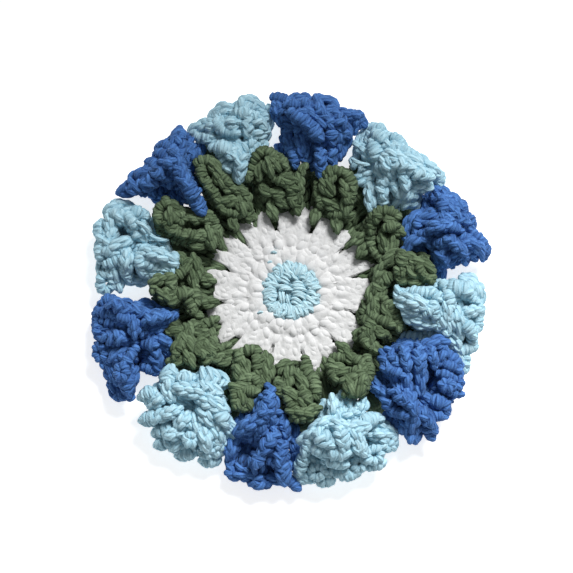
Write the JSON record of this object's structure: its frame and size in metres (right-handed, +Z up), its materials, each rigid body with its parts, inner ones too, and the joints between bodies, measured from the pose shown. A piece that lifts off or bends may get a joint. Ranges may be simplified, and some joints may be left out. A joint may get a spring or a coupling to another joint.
{
  "type": "crochet flower coaster",
  "caption": "Round crochet coaster: flat disc and toothed white round in the middle, curled leaves and ruffled royal and light blue flowers around the rim.",
  "frame": {"origin": "under the middle of the centre disc, on the surface the coaster lies on", "axes": "+Z up through the cup side; +Y towards the royal blue flower_01 at the top, +X to the right seen from above"},
  "size_m": [0.1497, 0.1481, 0.021],
  "materials": {
    "yarn_royal_blue": "matte cotton yarn, royal blue",
    "yarn_light_blue": "matte cotton yarn, light blue",
    "yarn_green": "matte cotton yarn, dark green",
    "yarn_white": "matte cotton yarn, white"
  },
  "bodies": {
    "root": {"centre_disc": "yarn_light_blue", "petal_round": "yarn_white", "leaf_round": "yarn_green", "leaf_01": "yarn_green", "leaf_02": "yarn_green", "leaf_03": "yarn_green", "leaf_04": "yarn_green", "leaf_05": "yarn_green", "leaf_06": "yarn_green", "leaf_07": "yarn_green", "leaf_08": "yarn_green", "leaf_09": "yarn_green", "leaf_10": "yarn_green", "leaf_11": "yarn_green", "leaf_12": "yarn_green", "flower_01": "yarn_royal_blue", "flower_02": "yarn_light_blue", "flower_03": "yarn_royal_blue", "flower_04": "yarn_light_blue", "flower_05": "yarn_royal_blue", "flower_06": "yarn_light_blue", "flower_07": "yarn_royal_blue", "flower_08": "yarn_light_blue", "flower_09": "yarn_royal_blue", "flower_10": "yarn_light_blue", "flower_11": "yarn_royal_blue", "flower_12": "yarn_light_blue"}
  },
  "joints": []
}
